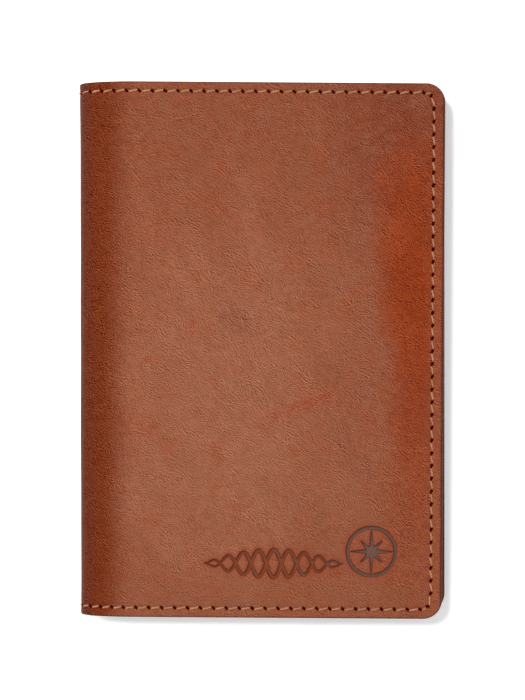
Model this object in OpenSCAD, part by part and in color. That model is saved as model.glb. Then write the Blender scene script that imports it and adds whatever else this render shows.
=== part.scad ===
// A leather passport holder: a two-panel cover that folds round a soft spine, with a lining,
// a passport sleeve inside each panel and two card pockets on the front sleeve.
// It lies closed on its back panel. X runs from spine to free edge, Y up the spine, Z up.
// The origin is under the middle of the closed holder, on the surface that it lies on.

/* [Cover] */
// Height of the closed holder, along the spine
cover_h = 140; // [134:1:160]
// Width of the closed holder, from the spine to the free edge
cover_w = 96; // [94:1:110]
// Thickness of the closed holder
closed_t = 13; // [13:0.5:18]
// Radius of the four outer corners
corner_r = 5; // [4:0.5:8]

/* [Spine] */
// How far the rounding of the spine reaches in from its outermost line
spine_reach = 15.5; // [13:0.5:18]
// Angle that the spine turns through at each cover panel
outer_fold = 30; // [25:1:40]

/* [Leather] */
// Thickness of the outer leather
outer_t = 1.3; // [1.1:0.1:1.3]
// Thickness of the lining
lining_t = 0.5; // [0.3:0.1:0.5]
// Thickness of the sleeve leather
sleeve_t = 0.8; // [0.6:0.1:0.8]
// Thickness of the card pocket leather
pocket_t = 0.6; // [0.4:0.1:0.6]

/* [Passport sleeves] */
// Width of each sleeve, from the free edge of the cover inwards
sleeve_w = 64; // [62:1:68]
// How far the open edge of a sleeve curves in at its middle
sleeve_dip = 3; // [1:0.5:3]
// Room behind a sleeve, which its turned edges hold open
sleeve_gap = 0.8; // [0.5:0.1:0.8]

/* [Card pockets] */
// Room behind each card pocket, which its turned edges hold open
pocket_gap = 0.35; // [0.2:0.05:0.35]
// Distance from the bottom of the holder to the mouth of the upper pocket
upper_mouth = 96; // [90:1:104]
// Distance from the bottom of the holder to the mouth of the lower pocket
lower_mouth = 78; // [66:1:84]

/* [Stitching] */
// Distance from the seam to the free edge
seam_side = 2.9; // [2.4:0.1:3]
// Distance from the seam to the top and bottom edges
seam_ends = 2.4; // [2.2:0.1:3]
// Width of the seam thread
thread_w = 0.5; // [0.4:0.05:0.6]
// How deep the seam thread is pulled into the leather
thread_sink = 0.4; // [0.3:0.05:0.4]

/* [Hidden] */
$fn = 48;

tan_leather = [0.58, 0.31, 0.19];
lining_brown = [0.33, 0.19, 0.13];
sleeve_brown = [0.50, 0.27, 0.17];
thread_tan = [0.77, 0.55, 0.41];

half_h = cover_h / 2;
half_w = cover_w / 2;
over = 1;                       // how far a cutting shape runs past what it cuts
fold_gap = 0.06;                // hairline between neighbouring spine strips
thread_play = 0.03;             // room on each side of a thread in its groove
thread_lift = 0.02;             // how far a thread stays below the leather's face
seam_corner_r = 2.5;            // the seam turns tighter than the outer corner
hem_w = 3.5;                    // turned edges reach just past the outer seam
pocket_hem_w = 2;               // turned edge at the spine side of a card pocket
pocket_inset = 4;               // card pockets stop short of the sleeve's open edge
pocket_seam_in = 1.1;           // seam of the card pockets, from their spine side

// Depths are measured inwards from the outer face of a cover panel.
lining_d = outer_t;
hem_d = lining_d + lining_t;
sleeve_d = hem_d + sleeve_gap;
pocket_base_d = sleeve_d + sleeve_t;
pocket_step = pocket_gap + pocket_t;

// The spine's outline is half an ellipse, and the flat strips are tangents to it. Each
// tangent has an outward normal, as an angle in the XZ plane: the back panel's points down
// and the front panel's up.
spine_x = spine_reach - half_w;
spine_z = closed_t / 2;
normals = [270, 270 - outer_fold, 180, 90 + outer_fold, 90];

// Distance from the ellipse's centre to its tangent with normal angle a, at depth d
function support(a, d) = sqrt(pow(spine_reach * cos(a), 2) + pow(spine_z * sin(a), 2)) - d;

// Where tangents k and k + 1 meet at depth d, which at depth 0 is a fold axis
function fold(k, d) =
    let (a = normals[k], b = normals[k + 1], s = sin(b - a),
         ha = support(a, d), hb = support(b, d))
    [spine_x + (ha * sin(b) - hb * sin(a)) / s, spine_z + (hb * cos(a) - ha * cos(b)) / s];

// The cover panels start where their first fold is on the inside of the lining.
panel_x = fold(0, outer_t + lining_t)[0] + fold_gap;

// ---- Shapes in the plane of a cover panel ----

// A panel from x0 to the free edge, with round corners there
module panel_outline(x0, side = 0, ends = 0, r = corner_r) {
    x1 = half_w - side;
    y1 = half_h - ends;
    translate([x0, -y1]) square([x1 - r - x0, 2 * y1]);
    translate([x0, r - y1]) square([x1 - x0, 2 * (y1 - r)]);
    for (s = [-1, 1]) translate([x1 - r, s * (y1 - r)]) circle(r);
}

// The line of the outer seam, of width w, open towards the spine
module seam_line(w) {
    difference() {
        panel_outline(panel_x, seam_side - w / 2, seam_ends - w / 2, seam_corner_r + w / 2);
        panel_outline(panel_x - over, seam_side + w / 2, seam_ends + w / 2,
                      seam_corner_r - w / 2);
    }
}

// The layer of a cover panel between depths d0 and d1
module layer(d0, d1) {
    translate([0, 0, d0]) linear_extrude(d1 - d0) children();
}

// Turns a back panel's pieces over, onto the front panel
module front_side() {
    translate([0, 0, closed_t]) mirror([0, 0, 1]) children();
}

// ---- Emblem pressed into the front: a compass rose and a braided band ----

emblem_sink = 0.25;
rose_x = half_w - 18.5;
rose_y = 17.5 - half_h;
rose_r = 6.6;
rose_ring_w = 0.7;
braid_x = half_w - 44;
braid_y = 14.2 - half_h;
braid_l = 36;
braid_h = 3.6;
braid_turns = 4.5;
braid_line = 0.8;
braid_steps = 54;

function braid_rise(x, side) =
    let (t = 2 * x / braid_l) side * braid_h * (1 - t * t) * cos(360 * braid_turns * x / braid_l);
function braid_width(x) = let (t = 2 * x / braid_l) braid_line * (1.05 - 0.9 * t * t) / 2;
function braid_normal(x, side) =
    let (dx = 0.01, dy = braid_rise(x + dx, side) - braid_rise(x - dx, side),
         l = norm([2 * dx, dy]))
    [-dy / l, 2 * dx / l];

module braid_strand(side) {
    xs = [for (i = [0:braid_steps]) braid_l * (i / braid_steps - 0.5)];
    upper = [for (x = xs) [x, braid_rise(x, side)] + braid_width(x) * braid_normal(x, side)];
    lower = [for (i = [braid_steps:-1:0]) let (x = xs[i])
             [x, braid_rise(x, side)] - braid_width(x) * braid_normal(x, side)];
    polygon(concat(upper, lower));
}

// A star with n points, alternately long and short
module star(n, r_long, r_short, r_waist) {
    polygon([for (i = [0:2 * n - 1])
        let (r = i % 2 == 1 ? r_waist : (i % 4 == 0 ? r_long : r_short), a = 90 + i * 180 / n)
        r * [cos(a), sin(a)]]);
}

module emblem() {
    translate([rose_x, rose_y]) {
        difference() {
            circle(rose_r);
            circle(rose_r - rose_ring_w);
        }
        star(8, rose_r - 1.1, 0.6 * rose_r, 0.2 * rose_r);
    }
    translate([braid_x, braid_y]) for (side = [-1, 1]) braid_strand(side);
}

// ---- Cover panels ----

module outer_leather() {
    difference() {
        layer(0, outer_t) panel_outline(panel_x);
        layer(-over, thread_sink) seam_line(thread_w + 2 * thread_play);
    }
}

module lining() {
    layer(lining_d, lining_d + lining_t) panel_outline(panel_x);
}

module seam_thread() {
    layer(thread_lift, thread_sink) seam_line(thread_w);
}

module back_outer_leather() { color(tan_leather) outer_leather(); }
module back_lining() { color(lining_brown) lining(); }
module back_seam_thread() { color(thread_tan) seam_thread(); }

module front_outer_leather() {
    color(tan_leather) difference() {
        front_side() outer_leather();
        translate([0, 0, closed_t - emblem_sink]) linear_extrude(over) emblem();
    }
}

module front_lining() { color(lining_brown) front_side() lining(); }
module front_seam_thread() { color(thread_tan) front_side() seam_thread(); }

// ---- Passport sleeves ----

sleeve_x = half_w - sleeve_w;
// Radius of the arc that dips sleeve_dip into the sleeve over the cover's height
dip_r = (half_h * half_h + sleeve_dip * sleeve_dip) / (2 * sleeve_dip);

module sleeve_panel() {
    difference() {
        layer(sleeve_d, sleeve_d + sleeve_t) panel_outline(sleeve_x);
        translate([sleeve_x + sleeve_dip - dip_r, 0, sleeve_d - over])
            cylinder(r = dip_r, h = sleeve_t + 2 * over, $fn = 360);
    }
}

// Three strips folded under a panel that starts at x0: along its top, free edge and bottom
module turned_edges(x0, d0, d1, top = true) {
    reach = cover_w;
    layer(d0, d1) for (s = top ? [-1, 1] : [-1]) intersection() {
        panel_outline(x0);
        translate([x0, s > 0 ? half_h - hem_w : -half_h]) square([reach, hem_w]);
    }
    layer(d0, d1) intersection() {
        panel_outline(x0);
        translate([half_w - hem_w, hem_w + fold_gap - half_h])
            square([hem_w, cover_h - 2 * (hem_w + fold_gap)]);
    }
}

module sleeve_turned_edges() { turned_edges(sleeve_x, hem_d, sleeve_d); }

module back_sleeve_panel() { color(sleeve_brown) sleeve_panel(); }
module back_sleeve_turned_edges() { color(sleeve_brown) sleeve_turned_edges(); }
module front_sleeve_panel() { color(sleeve_brown) front_side() sleeve_panel(); }
module front_sleeve_turned_edges() { color(sleeve_brown) front_side() sleeve_turned_edges(); }

// ---- Card pockets: n is 0 for the upper one, next to the sleeve, and 1 for the lower one ----

pocket_x = sleeve_x + pocket_inset;
mouths = [upper_mouth - half_h, lower_mouth - half_h];

function pocket_d(n) = pocket_base_d + n * pocket_step;

// What lies below a pocket's mouth
module below_mouth(n) {
    intersection() {
        panel_outline(pocket_x);
        translate([pocket_x, -half_h]) square([cover_w, mouths[n] + half_h]);
    }
}

// The line of the card pockets' own seam, from y0 to y1
module pocket_seam(w, y0, y1) {
    translate([pocket_x + pocket_seam_in - w / 2, y0]) square([w, y1 - y0]);
}

module card_pocket(n) {
    d = pocket_d(n) + pocket_gap;
    color(sleeve_brown) front_side() difference() {
        layer(d, d + pocket_t) below_mouth(n);
        layer(d + pocket_t - thread_sink, d + pocket_t + over)
            pocket_seam(thread_w + 2 * thread_play, hem_w - half_h, mouths[n] + over);
    }
}

module pocket_turned_edges(n) {
    d0 = pocket_d(n);
    d1 = d0 + pocket_gap;
    color(sleeve_brown) front_side() {
        intersection() {
            turned_edges(pocket_x, d0, d1, top = false);
            layer(d0 - over, d1 + over) below_mouth(n);
        }
        layer(d0, d1) translate([pocket_x, hem_w + fold_gap - half_h])
            square([pocket_hem_w, mouths[n] + half_h - hem_w - fold_gap]);
    }
}

module card_pocket_thread() {
    color(thread_tan) front_side() for (n = [0, 1]) {
        top = pocket_d(n) + pocket_step;
        y0 = n == 0 ? mouths[1] + thread_play : hem_w - half_h;
        layer(top - thread_sink, top - thread_lift) pocket_seam(thread_w, y0, mouths[n]);
    }
}

// ---- Spine: strip k lies between folds k and k + 1 ----

// Cross-section of strip k between depths d0 and d1, with mitred ends that stop a distance
// of room short of both folds
function strip_points(k, d0, d1, room) =
    let (along = fold(k + 1, 0) - fold(k, 0), g = along / norm(along) * room)
    [fold(k, d0) + g, fold(k + 1, d0) - g, fold(k + 1, d1) - g, fold(k, d1) + g];

module strip(k, d0, d1, w = cover_h, room = fold_gap / 2) {
    rotate([90, 0, 0]) linear_extrude(w, center = true)
        polygon(strip_points(k, d0, d1, room));
}

// Puts a piece on the seam line at the top and at the bottom
module at_both_ends() {
    for (s = [-1, 1]) translate([0, s * (half_h - seam_ends), 0]) children();
}

module spine_leather(k) {
    color(tan_leather) difference() {
        strip(k, 0, outer_t);
        at_both_ends() strip(k, -over, thread_sink, thread_w + 2 * thread_play, -over);
    }
}

module spine_lining(k) {
    color(lining_brown) strip(k, lining_d, lining_d + lining_t);
}

module spine_thread(k) {
    color(thread_tan) at_both_ends() strip(k, thread_lift, thread_sink, thread_w);
}

// ---- Assembly ----

back_outer_leather();
back_lining();
back_sleeve_panel();
back_sleeve_turned_edges();
back_seam_thread();
spine_leather(0);  // spine_leather_back
spine_leather(1);  // spine_leather_middle
spine_leather(2);  // spine_leather_front
spine_lining(0);  // spine_lining_back
spine_lining(1);  // spine_lining_middle
spine_lining(2);  // spine_lining_front
spine_thread(0);  // spine_thread_back
spine_thread(1);  // spine_thread_middle
spine_thread(2);  // spine_thread_front
front_outer_leather();
front_lining();
front_sleeve_panel();
front_sleeve_turned_edges();
card_pocket(0);  // upper_card_pocket
pocket_turned_edges(0);  // upper_pocket_turned_edges
card_pocket(1);  // lower_card_pocket
pocket_turned_edges(1);  // lower_pocket_turned_edges
card_pocket_thread();
front_seam_thread();
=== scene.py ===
"""A closed leather passport holder on a pale floor, seen straight from above.

The cover is one piece of leather that is folded round a soft spine. Every leather layer is
drawn in the cover's flat pattern, in millimetres, and place() folds it shut:
    u  along the cover, 0 on the spine's outermost line, positive to the front
    a  the distance from that line, which is u without its sign
    v  up the spine, 0 at mid height
    d  depth from the outer face of the leather inwards
"""

import math

import bmesh
import bpy
import numpy as np
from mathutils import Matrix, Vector


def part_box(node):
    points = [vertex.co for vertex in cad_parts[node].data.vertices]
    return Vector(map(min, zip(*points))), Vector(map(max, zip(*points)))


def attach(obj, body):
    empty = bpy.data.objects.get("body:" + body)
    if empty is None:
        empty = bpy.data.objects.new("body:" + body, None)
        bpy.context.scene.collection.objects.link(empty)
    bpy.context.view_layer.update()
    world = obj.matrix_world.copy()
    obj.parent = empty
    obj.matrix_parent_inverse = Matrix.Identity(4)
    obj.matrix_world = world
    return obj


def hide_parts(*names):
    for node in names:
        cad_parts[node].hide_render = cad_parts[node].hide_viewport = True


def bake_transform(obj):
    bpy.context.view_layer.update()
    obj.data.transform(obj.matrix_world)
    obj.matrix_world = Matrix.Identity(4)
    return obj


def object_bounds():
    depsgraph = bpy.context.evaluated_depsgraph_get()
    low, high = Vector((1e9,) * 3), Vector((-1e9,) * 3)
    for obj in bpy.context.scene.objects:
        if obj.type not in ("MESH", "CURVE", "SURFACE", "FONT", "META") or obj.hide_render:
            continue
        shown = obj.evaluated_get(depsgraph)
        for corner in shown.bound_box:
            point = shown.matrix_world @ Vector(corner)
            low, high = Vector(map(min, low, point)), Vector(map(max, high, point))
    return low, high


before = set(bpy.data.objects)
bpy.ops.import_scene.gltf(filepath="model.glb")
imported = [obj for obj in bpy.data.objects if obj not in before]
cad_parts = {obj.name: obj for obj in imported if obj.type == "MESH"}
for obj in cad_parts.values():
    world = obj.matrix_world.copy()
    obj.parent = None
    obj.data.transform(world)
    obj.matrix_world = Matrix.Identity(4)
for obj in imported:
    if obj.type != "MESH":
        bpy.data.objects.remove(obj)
cad_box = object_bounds()

# ---- Sizes, in millimetres, from the frame ----

MM = 0.001
HALF_W = cad_box[1].x / MM
HALF_H = cad_box[1].y / MM
CLOSED_T = cad_box[1].z / MM


def low(node):
    """The lowest corner of a CAD node, in millimetres."""
    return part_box(node)[0] / MM


def high(node):
    """The highest corner of a CAD node, in millimetres."""
    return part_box(node)[1] / MM


# Depths of the inner faces of the layers, from the outer face of their panel
OUTER_D = high("back_outer_leather").z
LINING_D = high("back_lining").z
HEM_D = high("back_sleeve_turned_edges").z
SLEEVE_D = high("back_sleeve_panel").z
POCKET_NODES = ("upper_card_pocket", "lower_card_pocket")
POCKET_D0 = [CLOSED_T - high(node).z for node in POCKET_NODES]
POCKET_D1 = [CLOSED_T - low(node).z for node in POCKET_NODES]

SPINE_REACH = 15.5  # how far the spine's half ellipse reaches in
CORNER_R = 5.0  # outer corners
SEAM_SIDE = 2.95  # from the free edge to the seam
SEAM_ENDS = 2.5  # from the top and bottom edges to the seam
SLEEVE_DIP = 3.0  # how far the open edge of a sleeve curves in
HEM_W = 3.5  # turned edges, from the rim to just past the seam
BEND_X = SPINE_REACH - HALF_W  # where the flat panels start
BEND_Z = CLOSED_T / 2  # the height of the spine's outermost line
FRONT_TURN = math.radians(0.4)  # the soft front lies turned a little on the back
FRONT_PIVOT = (BEND_X, 52.0)
BACK_SLIP = 0.85  # and the back reaches out a little further
SPINE_LEAN = 0.3  # the spine is a little tighter at the bottom

# ---- The fold: half an ellipse between two flat panels ----

angles = np.linspace(0, math.pi / 2, 721)
arc = np.column_stack((-SPINE_REACH * np.cos(angles), BEND_Z * np.sin(angles)))
arc_length = np.concatenate(([0], np.cumsum(np.linalg.norm(np.diff(arc, axis=0), axis=1))))
BEND_A = arc_length[-1]  # where the flat panels start
EDGE_A = BEND_A + HALF_W - BEND_X  # the free edge


def smooth(x):
    """0 before 0, 1 after 1, with an easy curve between them."""
    x = np.clip(x, 0, 1)
    return x * x * (3 - 2 * x)


def a_of(x):
    """The flat-pattern distance of a place on a flat panel."""
    return x - BEND_X + BEND_A


def first_a(node):
    """The flat-pattern distance at which a sleeve or pocket starts."""
    return a_of(low(node).x)


def place(u, v, d):
    """Where points of the flat pattern are in the closed holder, in metres."""
    u, v, d = (np.asarray(values, float) for values in (u, v, d))
    side = np.where(u < 0, -1.0, 1.0)
    turn_at = np.interp(np.abs(u), arc_length, angles)
    normal_x = -np.cos(turn_at) / SPINE_REACH
    normal_z = np.sin(turn_at) / BEND_Z
    length = np.hypot(normal_x, normal_z)
    x = BEND_X - SPINE_REACH * np.cos(turn_at) - normal_x / length * d
    x = x + np.maximum(np.abs(u) - BEND_A, 0)
    z = BEND_Z + side * (BEND_Z * np.sin(turn_at) - normal_z / length * d)
    x = x + BACK_SLIP * smooth(-u / BEND_A)
    x = x + SPINE_LEAN * (0.5 - v / (2 * HALF_H)) * smooth(1 - np.abs(u) / BEND_A)
    turn = FRONT_TURN * smooth(u / BEND_A)
    dx, dy = x - FRONT_PIVOT[0], v - FRONT_PIVOT[1]
    x = FRONT_PIVOT[0] + dx * np.cos(turn) + dy * np.sin(turn)
    y = FRONT_PIVOT[1] - dx * np.sin(turn) + dy * np.cos(turn)
    return np.stack((x, y, z), -1) * MM


# ---- Where the folds of the CAD model bend the leather ----

# The pieces meet where the ellipse faces the way that a side strip does
STRIP_WAY = math.radians(60)  # from the way that the spine's outermost line faces
split_at = math.atan2(BEND_Z * math.sin(STRIP_WAY), SPINE_REACH * math.cos(STRIP_WAY))
SPLIT_A = float(np.interp(split_at, angles, arc_length))
# The cover's four pieces, and the two bodies that each of them bends between
FOLDS = {
    "back": ("back_cover", "spine_back"),
    "spine_back": ("spine_back", "spine_middle"),
    "spine_front": ("spine_middle", "spine_front"),
    "front": ("spine_front", "front_cover"),
}


def fold_points(first_u, last_u, degrees):
    """Start and end of a bend, along one direction, so that it is the same at every depth."""
    angle = math.radians(degrees)
    way = np.array([math.cos(angle), 0, math.sin(angle)])
    ends = [pick(place(u, 0, (0, LINING_D)) @ way) for u, pick in ((first_u, max), (last_u, min))]
    middle = place((first_u + last_u) / 2, 0, 0)
    return [Vector(middle + (end - middle @ way) * way) for end in ends]


# The directions lie half way between those of the two bodies' leather.
FOLD_POINTS = {
    "back": fold_points(-BEND_A, -SPLIT_A, 165),
    "spine_back": fold_points(-SPLIT_A, 0, 120),
    "spine_front": fold_points(0, SPLIT_A, 60),
    "front": fold_points(SPLIT_A, BEND_A, 15),
}

# ---- The seam: awl slits all the way round, with a stitch between each two ----

SLIT_HALF = 0.64  # half the length of a slit
SLIT_WIDE = 0.37  # half its width, with its rounded lips
NEAR_SLIT = 5.0  # how far off a slit and its stitch are felt
END_LEAN = -50  # degrees from the seam's direction, which runs clockwise
SIDE_LEAN = -24
SEAM_CORNER = 2.7  # the seam's own corners
CORNER_CLEAR = 1.5  # from a corner to the first slit down the free edge
STITCHES_ALONG = 55  # from one side's corner over the spine to the other side's
STITCHES_UP = 38
STITCH_GAPS = (0.72, 0.6)  # from a slit's middle to its stitch, at the sides and ends
STITCH_OUT = 0.25  # and how far to the right of the seam that is

seam_a = EDGE_A - SEAM_SIDE
seam_v = HALF_H - SEAM_ENDS
corner_in = SEAM_CORNER * (1 - math.sqrt(0.5))


def seam_slits():
    """Every slit as u and v, clockwise from the top of the back's free edge."""
    last_u, last_v = seam_a - SEAM_CORNER, seam_v - SEAM_CORNER - CORNER_CLEAR
    along = np.linspace(-last_u, last_u, STITCHES_ALONG + 1)
    top = np.column_stack((along, np.full(len(along), seam_v)))
    rows = np.linspace(last_v, -last_v, STITCHES_UP + 1)
    rows = np.concatenate(([seam_v - corner_in], rows, [corner_in - seam_v]))
    front = np.column_stack((np.full(len(rows), seam_a), rows))
    front[[0, -1], 0] -= corner_in
    return np.concatenate((top, front, top[::-1] * [1, -1], front[::-1] * [-1, 1]))


def turned_by(ways, degrees):
    """Directions turned to the left by angles in degrees."""
    cos, sin = np.cos(np.radians(degrees)), np.sin(np.radians(degrees))
    x, y = ways.T
    return np.column_stack((x * cos - y * sin, x * sin + y * cos))


slits = seam_slits()
following = np.roll(slits, -1, axis=0)
seam_way = following - np.roll(slits, 1, axis=0)
seam_way = seam_way / np.linalg.norm(seam_way, axis=1)[:, None]
on_side = np.abs(seam_way[:, 0]) < 0.5
slit_way = turned_by(seam_way, np.where(on_side, SIDE_LEAN, END_LEAN))
thread_end = np.where(on_side, *STITCH_GAPS)[:, None] * seam_way  # from a slit to its stitch
thread_end = thread_end + STITCH_OUT * turned_by(seam_way, -90)

# ---- The emblem that is pressed into the front: a compass rose and a braided band ----

EMBLEM_D = 0.45  # how deep it is pressed
ROSE_X, ROSE_Y, ROSE_R = 29.5, -52.5, 6.6
ROSE_RING = 0.7  # width of the ring
ROSE_STAR = (5.5, 3.96, 1.32)  # radii of the long points, the short ones, and between them
BRAID_X, BRAID_Y, BRAID_L, BRAID_H = 4.0, -55.8, 36.0, 3.6
BRAID_TURNS = 4.5
BRAID_LINE = 0.8  # width of a strand, which gets thin at both ends
BRAID_POINTS = 109
EMBLEM_BOX = (-15.6, 38.0, -61.0, -44.4)  # x from and to, y from and to


def off_segment(x, y, start, end):
    """The distance of points from a straight piece of line."""
    ex, ey = end[0] - start[0], end[1] - start[1]
    dx, dy = x - start[0], y - start[1]
    share = np.clip((dx * ex + dy * ey) / (ex * ex + ey * ey), 0, 1)
    return np.hypot(dx - share * ex, dy - share * ey)


def outside_polygon(x, y, corners):
    """The distance of points from a polygon, negative inside it."""
    best = np.full(x.shape, np.inf)
    inside = np.zeros(x.shape, bool)
    for start, end in zip(corners, np.roll(corners, -1, axis=0)):
        best = np.minimum(best, off_segment(x, y, start, end))
        ex, ey = end - start
        crosses = (start[1] > y) != (end[1] > y)
        inside ^= crosses & (x < ex * (y - start[1]) / (ey or 1) + start[0])
    return np.where(inside, -best, best)


def outside_rose(x, y):
    """The distance from the ring and the eight-pointed star inside it."""
    x, y = x - ROSE_X, y - ROSE_Y
    ring = np.abs(np.hypot(x, y) - ROSE_R + ROSE_RING / 2) - ROSE_RING / 2
    long_r, short_r, waist_r = ROSE_STAR
    tips = []
    for k in range(16):
        radius = waist_r if k % 2 else (short_r if k % 4 else long_r)
        tips.append((radius * math.sin(k * math.pi / 8), radius * math.cos(k * math.pi / 8)))
    return np.minimum(ring, outside_polygon(x, y, np.array(tips)))


def outside_braid(x, y):
    """The distance from two strands that wave about each other and die out at both ends."""
    best = np.full(x.shape, np.inf)
    at = np.linspace(-BRAID_L / 2, BRAID_L / 2, BRAID_POINTS)
    taper = 1 - (2 * at / BRAID_L) ** 2
    for sign in (-1, 1):
        rise = sign * BRAID_H * taper * np.cos(2 * math.pi * BRAID_TURNS * at / BRAID_L)
        line = np.column_stack((at + BRAID_X, rise + BRAID_Y))
        for start, end, t in zip(line[:-1], line[1:], taper):
            half_width = BRAID_LINE * (0.15 + 0.9 * t) / 2
            best = np.minimum(best, off_segment(x, y, start, end) - half_width)
    return best


# ---- Shells: closed leather layers in the flat pattern ----

SUB = 5  # fine steps in each coarse one
COARSE = 1.2
BAND = 4.2  # the finely divided band along the rims, which holds the seam
SEAM_RINGS = (1.9, 3.9)  # and where in it the finest rings are
ARC_STEPS = 26  # round a corner
PATCH_SUB = 8  # fine steps in each coarse one, under the emblem
WALL_CORNERS = 60  # a face with as many corners is a wall, and is shaded flat
COAT, PIT, PRESS, HALO = range(4)  # what the marks on a point are


def steps(first, last, fine_at=(), size=COARSE):
    """Grid lines from first to last, with extra ones at the distances fine_at from first."""
    way = 1 if last > first else -1
    lines = [first, *(first + way * x for x in fine_at)]
    count = max(1, round(abs(last - lines[-1]) / size))
    return np.concatenate((lines[:-1], np.linspace(lines[-1], last, count + 1)))


def quads_of(ids):
    """The four-cornered faces of a grid of points."""
    around = (ids[:-1, :-1], ids[1:, :-1], ids[1:, 1:], ids[:-1, 1:])
    return np.stack(around, -1).reshape(-1, 4).tolist()


def divide(lines, many=SUB):
    """Fine lines, many to each step between the coarse ones."""
    places = np.arange((len(lines) - 1) * many + 1) / many
    return np.interp(places, np.arange(len(lines)), lines)


def rim_profile(d0, d1, round0, round1):
    """Ring positions from the inner face, d1, round the rim and onto the outer face, d0:
    distance in from the edge, depth, and how much edge coat there is."""
    way = 1 if d1 > d0 else -1
    rings = []
    for t in np.linspace(0, math.pi / 2, 4):
        rings.append((round1 * (1 - math.sin(t)), d1 - way * round1 * (1 - math.cos(t)), 1))
    for t in np.linspace(math.pi / 2, 0, 6):
        coat = float(smooth((math.degrees(t) - 8) / 40))
        rings.append((round0 * (1 - math.sin(t)), d0 + way * round0 * (1 - math.cos(t)), coat))
    finest, last = SEAM_RINGS
    insets = [*np.linspace(round0, finest, 5)[1:], *np.linspace(finest, last, 13)[1:], BAND]
    return np.array([*rings, *((inset, d0, 0) for inset in insets)])


class Shell:
    """Points of a layer in the flat pattern, and the faces between them."""

    def __init__(self):
        self.points, self.faces = [], []
        self.count = 0

    def add(self, a, v, d, coat=0.0):
        """Adds points, each with its edge coat, and gives their numbers."""
        points = np.stack(np.broadcast_arrays(a, v, d, coat), -1).astype(float)
        ids = self.count + np.arange(points[..., 0].size).reshape(points.shape[:-1])
        self.points.append(points.reshape(-1, 4))
        self.count += ids.size
        return ids

    def bridge(self, coarse, fine):
        """Faces between a coarse line of points and a fine one beside it."""
        for k in range(len(coarse) - 1):
            run = fine[k * SUB : (k + 1) * SUB + 1]
            self.faces.append([int(coarse[k]), int(coarse[k + 1]), *run[::-1].tolist()])

    def grid(self, ids, hole=np.s_[:0], split=None):
        """Faces of a coarse grid. hole is the cells that are left out, and split gives the
        points that lie on the edges round it."""
        kept = np.ones(np.subtract(ids.shape, 1), bool)
        kept[hole] = False
        for ring in np.array(quads_of(ids))[kept.ravel()].tolist():
            face = []
            for edge in zip(ring, ring[1:] + ring[:1]):
                face += [edge[0], *(split or {}).get(edge, ())]
            self.faces.append(face)


def rim_loops(columns, rows, free, top):
    """The outline as loops of points, inward normals, and runs: the line or corner of the
    coarse grid that points are beside, and how many are."""
    fine_a, fine_v = divide(columns), divide(rows)
    last_a = columns[-1]

    def straight(a, v, normal, line):
        a, v = np.broadcast_arrays(a, v)
        return np.column_stack((a, v)), np.tile(normal, (len(a), 1)), (line, len(a))

    def corner(v, first, last, line):
        t = np.linspace(first, last, ARC_STEPS + 1)[1:-1]
        away = np.column_stack((np.cos(t), np.sin(t)))
        return (last_a, v) + CORNER_R * away, -away, (line, len(t))

    runs = [straight(fine_a, -HALF_H, (0, 1), np.s_[:, 0])]
    if free:
        runs.append(corner(rows[0], -math.pi / 2, 0, (-1, 0)))
        runs.append(straight(last_a + CORNER_R, fine_v, (-1, 0), np.s_[-1, :]))
        if top:
            runs.append(corner(rows[-1], 0, math.pi / 2, (-1, -1)))
    loops = [runs] if free else [runs, []]
    if top:
        loops[-1].append(straight(fine_a[::-1], HALF_H, (0, -1), np.s_[::-1, -1]))
    loops = [list(zip(*loop)) for loop in loops if loop]
    return [(np.concatenate(base), np.concatenate(normal), runs) for base, normal, runs in loops]


def make_shell(columns, rows, d0, d1, round0, round1, free=True, top=True, inset=0.0, patch=None):
    """A closed layer. Its outer face, at depth d0, is finely divided along the rims. columns
    and rows are coarse lines, which stop CORNER_R short of a rim. Without free or top, a flat
    wall closes that side. patch is a box of finer cells."""
    shell = Shell()
    profile = rim_profile(d0, d1, round0, round1)
    outer = shell.add(*np.meshgrid(columns, rows, indexing="ij"), d0)
    inner = shell.add(*np.meshgrid(columns, rows, indexing="ij"), d1)
    patched = add_patch(shell, outer, columns, rows, d0, patch) if patch else ()
    shell.grid(outer, *patched)
    shell.grid(inner)
    ends = []
    for base, normal, runs in rim_loops(columns, rows, free, top):
        rings = base + (profile[:, None, :1] + inset) * normal
        ids = shell.add(rings[..., 0], rings[..., 1], profile[:, 1:2], profile[:, 2:3])
        shell.faces += quads_of(ids)
        ends.append((ids[:, 0], ids[:, -1]))
        start = 0
        for line, count in runs:
            stop = start + count
            for grid, ring in ((outer, ids[-1]), (inner, ids[0])):
                beside = grid[line]
                if beside.ndim:
                    shell.bridge(beside, ring[start:stop])
                else:
                    shell.faces.append([int(beside), *ring[start - 1 : stop + 1].tolist()])
            start = stop
    close_sides(shell, outer, inner, ends, free, top)
    return shell


def add_patch(shell, outer, columns, rows, d0, patch):
    """Fine cells in place of the coarse ones inside the box patch. Gives the cells that it
    fills, and the points that it puts on the coarse edges round them."""
    a0, a1, v0, v1 = patch
    i0, i1 = np.searchsorted(columns, a0) - 1, np.searchsorted(columns, a1)
    j0, j1 = np.searchsorted(rows, v0) - 1, np.searchsorted(rows, v1)
    many = PATCH_SUB
    fine_a, fine_v = divide(columns[i0 : i1 + 1], many), divide(rows[j0 : j1 + 1], many)
    ids = shell.add(*np.meshgrid(fine_a, fine_v, indexing="ij"), d0)
    for edge in (np.s_[[0, -1], :], np.s_[:, [0, -1]]):
        ids[::many, ::many][edge] = outer[i0 : i1 + 1, j0 : j1 + 1][edge]
    shell.faces += quads_of(ids)
    split = {}
    for line in (ids[:, 0], ids[:, -1], ids[0], ids[-1]):
        for k in range(0, len(line) - 1, many):
            first, *between, last = line[k : k + many + 1].tolist()
            split[first, last] = between
            split[last, first] = between[::-1]
    return np.s_[i0:i1, j0:j1], split


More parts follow.
